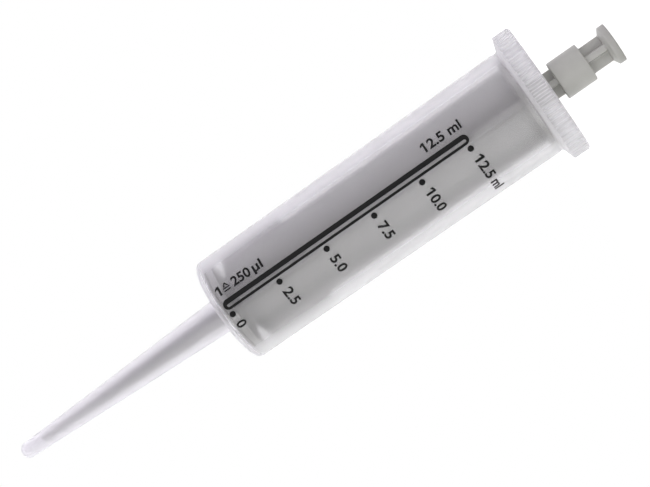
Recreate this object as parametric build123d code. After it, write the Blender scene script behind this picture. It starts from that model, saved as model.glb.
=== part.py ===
from build123d import *
from math import pi, sqrt
import os

# A repeating dispenser tip of 12.5 ml, in millimetres.
# It stands on the head of its piston with the nozzle up. z = 0 is the head's flat face,
# +Z runs to the nozzle, and the printed scale faces -Y. Angles run from -Y towards +X.

# Swept volume and travel set the bore, so that the printed marks read true
capacity = 12500.0
stroke = 50.0
bore_radius = sqrt(capacity / (pi * stroke))

# Piston head and neck
head_radius = 3.75
head_rim = 1.3
head_cone = 0.67
neck_radius = 2.6
neck_rib = 1.15
neck_root_radius = 0.3
upper_neck = 3.93
collar_radius = 3.65
collar_length = 6.0
collar_edge = 0.15
lower_neck = 4.5

# Guide disc, finned rod and seal
guide_thickness = 2.5
guide_clearance = 0.1
guide_edge = 0.25
fin_length = 60.9
fin_thickness = 1.15
fin_clearance = 0.1
fin_root_radius = 0.7
fin_relief = 1.2
fin_wide_length = 13.2
fin_slope = 1.4
fin_foot_radius = 4.8
fin_corner = 1.7
seal_thickness = 2.0
seal_clearance = 0.02
seal_lip = 0.45
seal_groove = 0.3
seal_slope = 0.12
seal_seat = 0.1

# Barrel
bore_depth = 68.25
wall_at_mouth = 1.37
wall_at_floor = 1.16
floor_thickness = 1.0
floor_corner = 1.0
mouth_chamfer = 0.5
flange_radius = 12.7
flange_rim = 3.35
flange_cone = 0.7
flange_edge = 0.22
rib_count = 72
rib_depth = 0.18
rib_crest = 0.42
rib_foot = 0.82

# Nozzle, and the spike of the piston that fills it
nozzle_length = 46.15
nozzle_root_radius = 3.26
nozzle_tip_radius = 1.47
nozzle_tip_edge = 0.65
nozzle_bore_root = 1.77
nozzle_bore_tip = 0.64
nozzle_straight = 4.75
nozzle_entry = 0.2
spike_clearance = 0.05

# Printed scale
ink = 0.05
scale_angle = 2.0
window_width = 1.92
window_bar = 0.9
window_line = 0.47
window_end = 0.6
window_past_zero = 0.6
window_past_full = 0.75
dot_angle = -8.4
dot_radius = 0.55
dot_count = 6
zero_from_floor = 1.4

# Heights of the stack, from the head's face to the end of the nozzle
neck_start = head_rim + head_cone
collar_start = neck_start + upper_neck
collar_end = collar_start + collar_length
guide_start = collar_end + lower_neck
guide_end = guide_start + guide_thickness
seal_start = guide_end + fin_length
seal_end = seal_start + seal_thickness
floor_inside = seal_end + seal_seat
floor_outside = floor_inside + floor_thickness
mouth = floor_inside - bore_depth
rim_end = mouth + flange_rim
flange_end = rim_end + flange_cone
nozzle_end = floor_outside + nozzle_length
spike_end = nozzle_end - nozzle_straight
zero_mark = floor_inside - zero_from_floor
full_mark = zero_mark - stroke


def revolved(points):
    """A solid turned about Z from its half section, given as (radius, height) pairs."""
    return revolve(make_face(Polyline(*[(r, 0, z) for r, z in points], close=True)), Axis.Z)


def cross(radius, thickness, root_radius, start, length):
    """Four ribs at right angles, with round crests and filleted roots."""
    arms = Rectangle(2 * radius, thickness) + Rectangle(thickness, 2 * radius)
    roots = arms.vertices().filter_by(lambda v: max(abs(v.X), abs(v.Y)) < thickness)
    outline = fillet(roots, root_radius) & Circle(radius)
    return extrude(Pos(0, 0, start) * outline, length)


def wall_radius(z):
    """Outer radius of the barrel, which narrows a little from the flange to the floor."""
    draft = (wall_at_mouth - wall_at_floor) / (floor_outside - flange_end)
    return bore_radius + wall_at_floor + draft * (floor_outside - z)


def nozzle_bore(z):
    """Radius of the nozzle's bore, which tapers from the floor to the end of the spike."""
    taper = (nozzle_bore_root - nozzle_bore_tip) / (spike_end - floor_inside)
    return nozzle_bore_tip + taper * (spike_end - z)


def at_angle(shape, angle):
    """Turns a shape made on the -Y side to its angle, from -Y towards +X."""
    return Rot(0, 0, angle) * shape


def flange():
    """The thick rim with fine ribs all round, a bevelled edge at the mouth and a conical underside."""
    valley = flange_radius - rib_depth
    rib_side = rib_foot - rib_crest / 2
    ridge = make_face(Polyline(
        (valley - rib_depth, -rib_side), (flange_radius, -rib_crest / 2),
        (flange_radius, rib_crest / 2), (valley - rib_depth, rib_side), close=True))
    ridges = [Rot(0, 0, 360 * i / rib_count) * ridge for i in range(rib_count)]
    band = extrude(Pos(0, 0, mouth + flange_edge) * (Circle(valley) + ridges), flange_rim - flange_edge)
    core = revolved([
        (0, mouth), (valley - flange_edge, mouth), (valley, mouth + flange_edge),
        (valley, rim_end), (wall_radius(flange_end), flange_end), (0, flange_end)])
    return core + band


def barrel():
    """Barrel, ribbed flange, floor and tapered nozzle, moulded in one piece."""
    tube = revolved([
        (0, mouth), (bore_radius + wall_at_mouth, mouth),
        (wall_radius(flange_end), flange_end),
        (wall_radius(floor_outside), floor_outside), (0, floor_outside)])
    rim = tube.edges().group_by(Axis.Z)[-1]
    nozzle = revolved([
        (0, floor_inside), (nozzle_root_radius, floor_inside),
        (nozzle_root_radius, floor_outside),
        (nozzle_tip_radius, nozzle_end - nozzle_tip_edge),
        (nozzle_tip_radius - nozzle_tip_edge, nozzle_end), (0, nozzle_end)])
    cavity = revolved([
        (0, mouth), (bore_radius + mouth_chamfer, mouth),
        (bore_radius, mouth + mouth_chamfer), (bore_radius, floor_inside),
        (nozzle_bore(floor_inside) + nozzle_entry, floor_inside),
        (nozzle_bore(floor_inside + nozzle_entry), floor_inside + nozzle_entry),
        (nozzle_bore_tip, spike_end), (nozzle_bore_tip, nozzle_end), (0, nozzle_end)])
    return fillet(rim, floor_corner) + flange() + nozzle - cavity


def head():
    """Flat-faced head with a conical underside, which the dispenser grips."""
    return revolved([
        (0, 0), (head_radius, 0), (head_radius, head_rim),
        (neck_radius, neck_start), (0, neck_start)])


def collar():
    """The plain collar that tells the dispenser the size of the tip."""
    blank = Pos(0, 0, collar_start) * Cylinder(
        collar_radius, collar_length, align=(Align.CENTER, Align.CENTER, Align.MIN))
    return chamfer(blank.edges().filter_by(GeomType.CIRCLE), collar_edge)


def guide():
    """The disc that keeps the rod true in the mouth of the barrel."""
    blank = Pos(0, 0, guide_start) * Cylinder(
        bore_radius - guide_clearance, guide_thickness,
        align=(Align.CENTER, Align.CENTER, Align.MIN))
    return chamfer(blank.edges().filter_by(GeomType.CIRCLE), guide_edge)


def rod():
    """Four fins that stand back from the bore, widen near the seal and are cut in a slant where they meet it."""
    wide = bore_radius - fin_clearance
    narrow = wide - fin_relief
    step = seal_start - fin_wide_length
    envelope = revolved([
        (0, guide_end), (narrow, guide_end), (narrow, step - fin_slope), (wide, step),
        (wide, seal_start - fin_corner), (fin_foot_radius, seal_start), (0, seal_start)])
    return cross(bore_radius, fin_thickness, fin_root_radius, guide_end, fin_length) & envelope


def seal():
    """The wiping head: two lips with a groove between them."""
    lip = bore_radius - seal_clearance
    waist = lip - seal_groove
    return revolved([
        (0, seal_start), (lip, seal_start), (lip, seal_start + seal_lip),
        (waist, seal_start + seal_lip + seal_slope), (waist, seal_end - seal_lip - seal_slope),
        (lip, seal_end - seal_lip), (lip, seal_end), (0, seal_end)])


def spike():
    """The tapered spike that empties the nozzle, up to the straight end of its bore."""
    return revolved([
        (0, seal_end), (nozzle_bore(seal_end) - spike_clearance, seal_end),
        (nozzle_bore(spike_end) - spike_clearance, spike_end), (0, spike_end)])


def piston():
    """Head, necks, collar, guide, fins, seal and spike, moulded in one piece."""
    necks = [
        cross(neck_radius, neck_rib, neck_root_radius, neck_start, upper_neck),
        cross(neck_radius, neck_rib, neck_root_radius, collar_end, lower_neck)]
    return head() + necks + collar() + guide() + rod() + seal() + spike()


def scale_print():
    """The ink on the barrel: a long window with a heavy edge, and a dot at each mark."""
    low, high = full_mark - window_past_full, zero_mark + window_past_zero
    layer = revolved([
        (wall_radius(flange_end), flange_end), (wall_radius(flange_end) + ink, flange_end),
        (wall_radius(floor_outside) + ink, floor_outside), (wall_radius(floor_outside), floor_outside)])
    front = Plane.XZ * Pos(0, (low + high) / 2)
    hole_width = window_width - window_bar - window_line
    hole_length = high - low - 2 * window_end
    outer = Rot(0, 0, 90) * SlotOverall(high - low, window_width)
    inner = Pos((window_line - window_bar) / 2, 0) * Rot(0, 0, 90) * SlotOverall(hole_length, hole_width)
    window = extrude(front * (outer - inner), 2 * flange_radius)
    dots = [
        extrude(Plane.XZ * Pos(0, zero_mark - i * stroke / (dot_count - 1)) * Circle(dot_radius),
                2 * flange_radius) for i in range(dot_count)]
    marks = [at_angle(window, scale_angle)] + [at_angle(dot, dot_angle) for dot in dots]
    return Compound(children=[solid for mark in marks for solid in (mark & layer).solids()])


os.makedirs("parts", exist_ok=True)
for name, part in {"barrel": barrel(), "piston": piston(), "scale_print": scale_print()}.items():
    export_step(part, f"parts/{name}.step")
    print(name, round(part.volume, 2), "mm3")
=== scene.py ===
import bpy
import math
from mathutils import Euler, Matrix, Vector


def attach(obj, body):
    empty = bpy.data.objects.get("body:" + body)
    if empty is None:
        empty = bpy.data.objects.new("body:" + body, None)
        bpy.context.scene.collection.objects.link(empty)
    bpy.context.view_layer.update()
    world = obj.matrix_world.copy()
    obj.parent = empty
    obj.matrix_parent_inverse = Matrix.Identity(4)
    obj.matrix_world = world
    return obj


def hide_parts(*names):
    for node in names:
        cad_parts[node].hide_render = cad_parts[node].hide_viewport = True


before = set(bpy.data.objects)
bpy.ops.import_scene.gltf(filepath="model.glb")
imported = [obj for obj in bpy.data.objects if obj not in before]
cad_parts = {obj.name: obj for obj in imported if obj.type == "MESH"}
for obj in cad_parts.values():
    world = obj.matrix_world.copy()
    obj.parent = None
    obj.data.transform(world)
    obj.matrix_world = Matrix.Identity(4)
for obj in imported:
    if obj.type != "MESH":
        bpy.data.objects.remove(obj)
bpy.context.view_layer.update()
bpy.context.scene.view_settings.view_transform = "Standard"
mm = 0.001  # every size below is in millimetres
touching = 0.001  # places closer than this are the same place
mergeGap = 0.0005  # vertices closer than this become one
roundSteps = 4  # segments in each rounded corner of a profile


# Selecting by place, and the few steps that every piece shares

def deselectAll():
    if bpy.context.object and bpy.context.object.mode != "OBJECT":
        bpy.ops.object.mode_set(mode="OBJECT")
    bpy.ops.object.select_all(action="DESELECT")


def useOnly(obj):
    deselectAll()
    obj.select_set(True)
    bpy.context.view_layer.objects.active = obj


def pickVertices(obj, test):  # test takes a vertex's place in millimetres
    bpy.ops.object.mode_set(mode="OBJECT")
    for face in obj.data.polygons:
        face.select = False
    for edge in obj.data.edges:
        edge.select = False
    for vertex in obj.data.vertices:
        vertex.select = test(vertex.co / mm)
    bpy.ops.object.mode_set(mode="EDIT")
    bpy.ops.mesh.select_mode(type="VERT")


def cleanMesh():
    bpy.ops.mesh.select_all(action="SELECT")
    bpy.ops.mesh.remove_doubles(threshold=mergeGap * mm)
    bpy.ops.mesh.normals_make_consistent(inside=False)


def smoothEdges(obj, angle):  # edges sharper than the angle stay sharp
    useOnly(obj)
    bpy.ops.object.shade_smooth_by_angle(angle=math.radians(angle))


def applyAll(obj):
    useOnly(obj)
    for modifier in list(obj.modifiers):
        bpy.ops.object.modifier_apply(modifier=modifier.name)


def traceProfile(name, corners):  # a closed chain in the XZ plane; a corner is (radius, height, rounding)
    deselectAll()
    bpy.ops.mesh.primitive_plane_add(size=mm)
    obj = bpy.context.object
    obj.name = name
    obj.data.name = name
    bpy.ops.object.mode_set(mode="EDIT")
    bpy.ops.mesh.select_all(action="SELECT")
    bpy.ops.mesh.merge(type="CENTER")
    places = [Vector((radius, 0, height)) for radius, height, rounding in corners]
    bpy.ops.transform.translate(value=places[0] * mm)
    for before, place in zip(places, places[1:]):
        bpy.ops.mesh.extrude_region_move(TRANSFORM_OT_translate={"value": (place - before) * mm})
    ends = (places[0], places[-1])
    pickVertices(obj, lambda spot: min((spot - end).length for end in ends) < touching)
    bpy.ops.mesh.edge_face_add()
    for place, (radius, height, rounding) in zip(places, corners):
        if rounding:
            pickVertices(obj, lambda spot: (spot - place).length < touching)
            bpy.ops.mesh.bevel(offset=rounding * mm, segments=roundSteps, affect="VERTICES")
    return obj


def latheProfile(name, corners, steps):
    obj = traceProfile(name, corners)
    bpy.ops.mesh.select_all(action="SELECT")
    bpy.ops.mesh.spin(steps=steps, angle=math.tau, center=(0, 0, 0), axis=(0, 0, 1))
    cleanMesh()
    return obj


def copyNode(node, name):  # a merged copy of a CAD node, which stands in for it
    deselectAll()
    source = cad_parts[node]
    obj = bpy.data.objects.new(name, source.data.copy())
    obj.data.materials.clear()
    bpy.context.collection.objects.link(obj)
    useOnly(obj)
    bpy.ops.object.mode_set(mode="EDIT")
    cleanMesh()
    bpy.ops.object.mode_set(mode="OBJECT")
    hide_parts(node)
    return obj


# Shader maths: one socket, wrapped so that Python's operators add the Math nodes

class Wire:
    def __init__(self, tree, socket):
        self.tree = tree
        self.socket = socket

    def make(self, kind, settings=None, output=0, **inputs):  # i0, i1 and so on are sockets by number
        node = self.tree.nodes.new(kind)
        for key, value in (settings or {}).items():
            setattr(node, key, value)
        for key, value in inputs.items():
            number = key[1:]
            socket = node.inputs[int(number) if number.isdigit() else key.replace("_", " ")]
            if isinstance(value, Wire):
                self.tree.links.new(value.socket, socket)
            else:
                socket.default_value = value
        return Wire(self.tree, node.outputs[output])

    def maths(self, operation, first, second):
        return self.make("ShaderNodeMath", {"operation": operation}, i0=first, i1=second)

    def __add__(self, other):
        return self.maths("ADD", self, other)

    def __radd__(self, other):
        return self.maths("ADD", other, self)

    def __sub__(self, other):
        return self.maths("SUBTRACT", self, other)

    def __rsub__(self, other):
        return self.maths("SUBTRACT", other, self)

    def __mul__(self, other):
        return self.maths("MULTIPLY", self, other)

    def __rmul__(self, other):
        return self.maths("MULTIPLY", other, self)

    def __truediv__(self, other):
        return self.maths("DIVIDE", self, other)

    def __rtruediv__(self, other):
        return self.maths("DIVIDE", other, self)


def newMaterial(name, **fixed):  # with its Principled shader and a wire of object coordinates
    material = bpy.data.materials.new(name)
    material.use_nodes = True
    tree = material.node_tree
    shader = tree.nodes["Principled BSDF"]
    for key, value in fixed.items():
        shader.inputs[key.replace("_", " ")].default_value = value
    coords = tree.nodes.new("ShaderNodeTexCoord")
    return material, shader, Wire(tree, coords.outputs["Object"])


def feed(shader, name, wire):
    wire.tree.links.new(wire.socket, shader.inputs[name])


def noise(place, size, detail):  # size of a patch in millimetres
    return place.make("ShaderNodeTexNoise", Vector=place, Scale=1000 / size, Detail=detail)


def heightOf(place):  # in millimetres, from the face that the tip stands on
    return place.make("ShaderNodeSeparateXYZ", output="Z", Vector=place) / mm


def clamp(wire):
    return wire.make("ShaderNodeClamp", Value=wire, Min=0.0, Max=1.0)


def bump(height, depth):  # depth in millimetres
    return height.make("ShaderNodeBump", Height=height, Strength=1.0, Distance=depth * mm)


def mixColours(amount, low, high):  # each colour is a wire or three numbers
    low, high = (colour if isinstance(colour, Wire) else (*colour, 1) for colour in (low, high))
    return amount.make("ShaderNodeMix", {"data_type": "RGBA"}, output=2, i0=amount, i6=low, i7=high)


def finish(share, first, second):  # the material shows the second shader by its share
    mixed = first.make("ShaderNodeMixShader", i0=share, i1=first, i2=second)
    tree = first.tree
    tree.links.new(mixed.socket, tree.nodes["Material Output"].inputs["Surface"])


# Materials

def barrelPlastic():  # clear facing the eye, frosted at a slant, in the flange and along the nozzle
    look = {
        "dark": (0.975, 0.965, 0.985), "light": (0.99, 0.985, 0.995), "patch": 9.0, "detail": 3, "bend": 1.49,
        "milk": 0.06, "polish": 0.2, "haze": 0.05, "frostMilk": 0.45, "frost": 0.9, "slant": 0.5,
        "grain": 0.35, "grainDetail": 1, "depth": 0.001, "fade": 0.8,
        "flangeEnd": 18.2, "flangePolish": 0.1, "flangeFrost": 0.4,
        "nozzleStart": 81.4, "nozzleTint": (0.915, 0.905, 0.93), "nozzleHaze": 0.1, "nozzleFrost": 0.17,
        "tipStart": 100.0, "tipReach": 22.0, "tipFrost": 0.35}
    material, clear, place = newMaterial(
        "barrelPlastic", Transmission_Weight=1 - look["milk"], IOR=look["bend"])
    cloud = noise(place, look["patch"], look["detail"])
    height = heightOf(place)
    inFlange = clamp((look["flangeEnd"] - height) / look["fade"])
    inNozzle = clamp((height - look["nozzleStart"]) / look["fade"])
    nearTip = clamp((height - look["tipStart"]) / look["tipReach"])
    colour = mixColours(inNozzle, mixColours(cloud, look["dark"], look["light"]), look["nozzleTint"])
    grain = bump(noise(place, look["grain"], look["grainDetail"]), look["depth"])
    uneven = cloud * look["haze"]
    feed(clear, "Base Color", colour)
    feed(clear, "Roughness",
         uneven + look["polish"] - inFlange * look["flangePolish"] + inNozzle * look["nozzleHaze"])
    feed(clear, "Normal", grain)
    frosted = place.make(
        "ShaderNodeBsdfPrincipled", Base_Color=colour, Roughness=uneven + look["frost"], Normal=grain,
        Transmission_Weight=1 - look["frostMilk"], IOR=look["bend"])
    slant = place.make("ShaderNodeLayerWeight", output="Facing")
    share = clamp(slant * look["slant"] + inFlange * look["flangeFrost"]
                  + inNozzle * look["nozzleFrost"] + nearTip * look["tipFrost"])
    finish(share, Wire(place.tree, clear.outputs["BSDF"]), frosted)
    return material


def pistonPlastic():  # satin outside, with a polish from the guide disc on, where it runs in the bore
    look = {
        "dark": (0.37, 0.37, 0.34), "light": (0.44, 0.44, 0.41), "patch": 2.2, "detail": 4, "gloss": 0.45,
        "rough": 0.28, "unevenness": 0.15, "polishStart": 20.0, "coatRough": 0.02,
        "grain": 0.16, "grainDetail": 2, "depth": 0.006}
    material, shader, place = newMaterial(
        "pistonPlastic", Specular_IOR_Level=look["gloss"], Coat_Roughness=look["coatRough"])
    cloud = noise(place, look["patch"], look["detail"])
    feed(shader, "Base Color", mixColours(cloud, look["dark"], look["light"]))
    feed(shader, "Roughness", cloud * look["unevenness"] + look["rough"])
    feed(shader, "Coat Weight", clamp(heightOf(place) - look["polishStart"]))
    feed(shader, "Normal", bump(noise(place, look["grain"], look["grainDetail"]), look["depth"]))
    return material


def scaleInk():
    look = {
        "dark": (0.003, 0.003, 0.003), "light": (0.01, 0.01, 0.009), "patch": 0.5, "detail": 3, "gloss": 0.15,
        "rough": 0.4, "unevenness": 0.25, "grain": 0.08, "grainDetail": 2, "depth": 0.004}
    material, shader, place = newMaterial("scaleInk", Specular_IOR_Level=look["gloss"])
    cloud = noise(place, look["patch"], look["detail"])
    feed(shader, "Base Color", mixColours(cloud, look["dark"], look["light"]))
    feed(shader, "Roughness", cloud * look["unevenness"] + look["rough"])
    feed(shader, "Normal", bump(noise(place, look["grain"], look["grainDetail"]), look["depth"]))
    return material


def floorPaint():  # white to the camera; seen through plastic, it glows more towards the back
    look = {
        "paint": (0.85, 0.85, 0.85, 1), "rough": 0.9, "glow": (1, 1, 1, 1), "seen": 0.8, "white": 1.3,
        "front": 0.4, "behind": 2.0, "reach": 0.35}  # the reach is in metres
    material, shader, place = newMaterial("floorPaint", Base_Color=look["paint"], Roughness=look["rough"])
    camera = place.make("ShaderNodeLightPath", output="Is Camera Ray")
    through = place.make("ShaderNodeLightPath", output="Is Transmission Ray")
    depth = place.make("ShaderNodeSeparateXYZ", output="Y", Vector=place)
    level = depth.make("ShaderNodeMapRange", {"interpolation_type": "SMOOTHSTEP"}, Value=depth,
                       From_Max=look["reach"], To_Min=look["front"], To_Max=look["behind"])
    glow = place.make("ShaderNodeEmission", Color=look["glow"],
                      Strength=camera * look["white"] + through * level)
    share = clamp(camera * look["seen"] + through)
    finish(share, Wire(place.tree, shader.outputs["BSDF"]), glow)
    return material


def giveMaterial(obj, material):
    obj.data.materials.clear()
    obj.data.materials.append(material)


# Camera, light and floor

def setCamera():
    shot = {
        "side": -3.28, "away": 309.5, "height": 20.8, "aimHeight": 61.55, "roll": -124.87, "lens": 97.42,
        "near": 10, "far": 20000}
    deselectAll()
    turn = math.radians(shot["side"])
    across, back = shot["away"] * math.sin(turn), -shot["away"] * math.cos(turn)
    stand = Vector((across, back, shot["height"])) * mm
    aim = Vector((0, 0, shot["aimHeight"])) * mm
    bpy.ops.object.camera_add(location=stand)
    camera = bpy.context.object
    level = (aim - stand).to_track_quat("-Z", "Y").to_matrix()
    rolled = level @ Matrix.Rotation(math.radians(shot["roll"]), 3, "Z")
    camera.rotation_euler = rolled.to_euler()
    camera.data.lens = shot["lens"]
    camera.data.clip_start = shot["near"] * mm
    camera.data.clip_end = shot["far"] * mm
    bpy.context.scene.camera = camera


def lightPatch(way, direction, edge, full):  # 0 up to the cosine at its edge, 1 in its full light
    facing = way.make("ShaderNodeVectorMath", {"operation": "DOT_PRODUCT"}, output="Value",
                      i0=way, i1=Vector(direction).normalized())
    return facing.make("ShaderNodeMapRange", {"interpolation_type": "SMOOTHSTEP"},
                       Value=facing, From_Min=edge, From_Max=full)


def setLight():
    light = {
        "base": 0.7, "backdrop": 1.0, "white": (1, 1, 1),
        "tint": (0.95, 0.91, 1.0), "tintPatch": ((1, -0.4, 0), -0.2, 0.7),
        "patches": (  # strength, direction, and the cosines at its edge and in its full light
            (0.5, (0, 1, 0), -0.2, 0.3), (2.1, (-0.55, -0.83, 0), 0.8, 0.98),
            (1.1, (0.85, -0.5, 0), 0.75, 0.98), (0.3, (0, 0, 1), 0.35, 0.95))}
    world = bpy.data.worlds.new("studio")
    bpy.context.scene.world = world
    world.use_nodes = True
    tree = world.node_tree
    tree.nodes.clear()
    output = tree.nodes.new("ShaderNodeOutputWorld")
    coords = tree.nodes.new("ShaderNodeTexCoord")
    way = Wire(tree, coords.outputs["Generated"])
    strength = light["base"]
    for level, direction, edge, full in light["patches"]:
        strength = strength + level * lightPatch(way, direction, edge, full)
    colour = mixColours(lightPatch(way, *light["tintPatch"]), light["white"], light["tint"])
    studio = way.make("ShaderNodeBackground", Color=colour, Strength=strength)
    backdrop = way.make("ShaderNodeBackground", Color=(*light["white"], 1), Strength=light["backdrop"])
    camera = way.make("ShaderNodeLightPath", output="Is Camera Ray")
    mixed = way.make("ShaderNodeMixShader", i0=camera, i1=studio, i2=backdrop)
    tree.links.new(mixed.socket, output.inputs["Surface"])


def makeFloor():
    floorSize = 6000
    deselectAll()
    bpy.ops.mesh.primitive_plane_add(size=floorSize * mm)
    floor = bpy.context.object
    floor.name = "floor"
    floor.data.materials.append(floorPaint())


# Barrel

def makeBarrel():
    size = {
        "bore": 8.9206, "mouth": 13.65, "chamfer": 0.5, "rim": 3.35, "cone": 0.7, "steps": 432, "smooth": 40,
        "floorInside": 81.9, "floor": 1.0, "wallAtFlange": 1.37, "wallAtFloor": 1.16,
        "ribs": 72, "valley": 12.52, "crest": 12.699, "ribSlope": 0.12, "ribGap": 0.02, "crestShare": 0.26,
        "nozzle": 46.15, "nozzleRoot": 3.26, "nozzleTip": 1.47, "tipBevel": 0.65,
        "boreRoot": 1.77, "boreTip": 0.64, "boreStraight": 4.75}
    soft = {  # roundings
        "mouth": 0.1, "rimEdge": 0.22, "cone": 0.25, "shoulder": 0.95, "nozzleRoot": 0.2, "nozzleTip": 0.3,
        "nozzleEnd": 0.08, "boreEnd": 0.05, "boreRoot": 0.15, "floor": 0.25}
    rimEnd = size["mouth"] + size["rim"]
    floorOutside = size["floorInside"] + size["floor"]
    nozzleEnd = floorOutside + size["nozzle"]
    ribLow = size["mouth"] + soft["rimEdge"]
    outline = [
        (size["bore"] + size["chamfer"], size["mouth"], soft["mouth"]),
        (size["valley"], size["mouth"], soft["rimEdge"]),
        (size["valley"], ribLow + size["ribGap"], 0),
        (size["valley"], ribLow + size["ribSlope"], 0),
        (size["valley"], rimEnd - size["ribSlope"], 0),
        (size["valley"], rimEnd, 0),
        (size["bore"] + size["wallAtFlange"], rimEnd + size["cone"], soft["cone"]),
        (size["bore"] + size["wallAtFloor"], floorOutside, soft["shoulder"]),
        (size["nozzleRoot"], floorOutside, soft["nozzleRoot"]),
        (size["nozzleTip"], nozzleEnd - size["tipBevel"], soft["nozzleTip"]),
        (size["nozzleTip"] - size["tipBevel"], nozzleEnd, soft["nozzleEnd"]),
        (size["boreTip"], nozzleEnd, soft["boreEnd"]),
        (size["boreTip"], nozzleEnd - size["boreStraight"], 0),
        (size["boreRoot"], size["floorInside"], soft["boreRoot"]),
        (size["bore"], size["floorInside"], soft["floor"]),
        (size["bore"], size["mouth"] + size["chamfer"], soft["mouth"])]
    obj = latheProfile("barrelShell", outline, size["steps"])
    pitch = math.tau / size["ribs"]

    def onRidge(place):  # on a rib's crest, between the slopes at its ends
        onRim = abs(math.hypot(place.x, place.y) - size["valley"]) < touching
        between = ribLow + size["ribSlope"] / 2 < place.z < rimEnd - size["ribSlope"] / 2
        angle = (math.atan2(place.y, place.x) + pitch / 2) % pitch - pitch / 2
        return onRim and between and abs(angle) < size["crestShare"] * pitch

    pickVertices(obj, onRidge)
    grow = size["crest"] / size["valley"]
    bpy.ops.transform.resize(value=(grow, grow, 1), center_override=(0, 0, 0))
    bpy.ops.object.mode_set(mode="OBJECT")
    smoothEdges(obj, size["smooth"])
    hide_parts("barrel")
    giveMaterial(obj, barrelPlastic())
    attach(obj, "barrel")
    print("barrel made,", len(obj.data.polygons), "faces")
    return obj


# Piston and print

def makePiston():
    trim = {"flat": 0.5, "edge": 0.07, "edgeSteps": 2, "sharp": 35, "smooth": 30}
    obj = copyNode("piston", "pistonBody")
    useOnly(obj)
    bpy.ops.object.mode_set(mode="EDIT")
    bpy.ops.mesh.select_all(action="SELECT")
    bpy.ops.mesh.dissolve_limited(angle_limit=math.radians(trim["flat"]))
    bpy.ops.object.mode_set(mode="OBJECT")
    bevel = obj.modifiers.new("edges", "BEVEL")
    bevel.width = trim["edge"] * mm
    bevel.segments = trim["edgeSteps"]
    bevel.limit_method = "ANGLE"
    bevel.angle_limit = math.radians(trim["sharp"])
    applyAll(obj)
    smoothEdges(obj, trim["smooth"])
    giveMaterial(obj, pistonPlastic())
    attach(obj, "piston")
    print("piston made,", len(obj.data.polygons), "faces")


def makePrint(ink):
    trim = {"smooth": 30}
    obj = copyNode("scale_print", "scaleWindow")
    smoothEdges(obj, trim["smooth"])
    giveMaterial(obj, ink)
    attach(obj, "barrel")
    print("window and dots made,", len(obj.data.polygons), "faces")


# Numerals, set flat on the unrolled barrel in the XZ plane, then bent round it

def addWord(look, word, along, height, length, turn):  # turn 180 runs round the barrel, 90 along it
    deselectAll()
    bpy.ops.object.text_add()
    letters = bpy.context.object.data
    letters.body = word
    letters.size = look["em"] * mm
    letters.offset = look["signWeight" if word == "≙" else "weight"] * mm
    letters.resolution_u = look["curveSteps"]
    bpy.ops.object.convert(target="MESH")
    obj = bpy.context.object
    if word.startswith("1"):
        addFlag(look, obj)
    start = min(vertex.co.x for vertex in obj.data.vertices)
    end = max(vertex.co.x for vertex in obj.data.vertices)
    stretch = length * mm / (end - start)
    turned = Euler((math.radians(90), math.radians(turn), 0))
    obj.scale = (stretch, 1, 1)
    obj.rotation_euler = turned
    obj.location = Vector((along, 0, height)) * mm - turned.to_matrix() @ Vector((start * stretch, 0, 0))
    bpy.ops.object.transform_apply()
    return obj


def addFlag(look, obj):  # the slanted stroke at the top of a 1, whose bar stands first in the word
    size = look["flag"] * mm
    left = min(vertex.co.x for vertex in obj.data.vertices)
    top = max(vertex.co.y for vertex in obj.data.vertices if vertex.co.x < left + size / 2)
    useOnly(obj)
    bpy.ops.object.mode_set(mode="EDIT")
    bpy.ops.mesh.primitive_plane_add(size=size, location=(left - size / 2, top - size / 2, 0))
    pickVertices(obj, lambda place: place.x * mm < left - size / 2)
    bpy.ops.transform.translate(value=(0, -look["flagDrop"] * mm, 0))
    bpy.ops.object.mode_set(mode="OBJECT")


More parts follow.
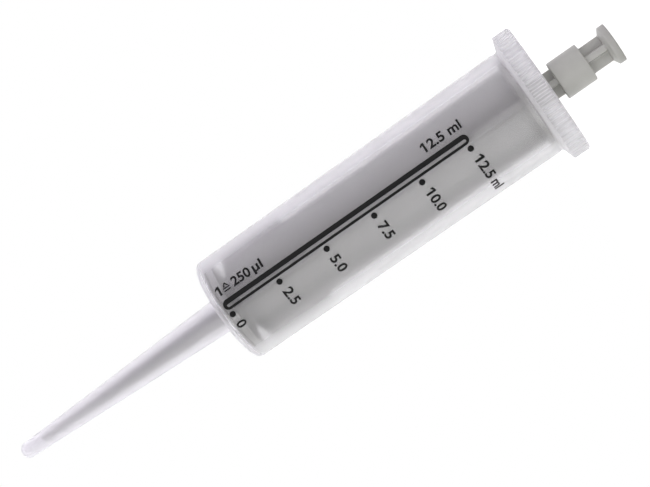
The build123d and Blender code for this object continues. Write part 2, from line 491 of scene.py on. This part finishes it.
def bendRound(obj, strip, radius):  # cut into strips, then rolled about the barrel's axis
    across = [vertex.co.x / mm for vertex in obj.data.vertices]
    first, last = min(across), max(across)
    bpy.ops.object.mode_set(mode="EDIT")
    for cut in range(math.ceil(first / strip), math.ceil(last / strip)):
        bpy.ops.mesh.select_all(action="SELECT")
        bpy.ops.mesh.bisect(plane_co=(cut * strip * mm, 0, 0), plane_no=(1, 0, 0))
    bpy.ops.object.mode_set(mode="OBJECT")
    bend = obj.modifiers.new("round", "SIMPLE_DEFORM")
    bend.deform_method = "BEND"
    bend.deform_axis = "Z"
    bend.angle = (last - first) / radius
    applyAll(obj)
    obj.location.y = -radius * mm
    bpy.ops.object.transform_apply()


def makeNumerals(ink, shell):
    look = {
        "em": 2.52, "weight": 0.065, "signWeight": 0.03, "curveSteps": 5, "flag": 0.42, "flagDrop": 0.3,
        "thick": 0.04, "strip": 0.25, "radius": 10.2,
        "zero": 80.5, "markStep": 10.0, "volumeStep": 2.5, "ahead": 0.62, "start": -17.8,
        "lengths": (1.25, 3.45, 3.45, 3.4, 4.8, 8.7), "baseline": 13.3,
        "lines": (("1", 80.93, 0.86), ("≙", 79.53, 1.35), ("250", 77.59, 3.77), ("µl", 73.28, 2.0),
                  ("12.5 ml", 37.5, 7.9))}  # word, height and length
    words = []
    for mark, length in enumerate(look["lengths"]):
        word = f"{mark * look['volumeStep']:.1f}" if mark else "0"
        if mark == len(look["lengths"]) - 1:
            word += " ml"
        along = look["radius"] * math.radians(look["start"])
        height = look["zero"] - mark * look["markStep"] + look["ahead"]
        words.append(addWord(look, word, along, height, length, 180))
    for word, height, length in look["lines"]:
        along = look["radius"] * math.radians(look["baseline"])
        words.append(addWord(look, word, along, height, length, 90))
    deselectAll()
    for word in words:
        word.select_set(True)
    obj = words[0]
    bpy.context.view_layer.objects.active = obj
    bpy.ops.object.join()
    obj.name = "scaleNumerals"
    obj.data.name = "scaleNumerals"
    bendRound(obj, look["strip"], look["radius"])
    seat = obj.modifiers.new("seat", "SHRINKWRAP")
    seat.target = shell
    seat.wrap_method = "NEAREST_SURFACEPOINT"
    body = obj.modifiers.new("body", "SOLIDIFY")
    body.thickness = look["thick"] * mm
    body.offset = 1
    applyAll(obj)
    giveMaterial(obj, ink)
    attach(obj, "barrel")
    print("numerals made,", len(obj.data.polygons), "faces")


setCamera()
setLight()
makeFloor()
print("stage set")
shell = makeBarrel()
makePiston()
ink = scaleInk()
makePrint(ink)
makeNumerals(ink, shell)
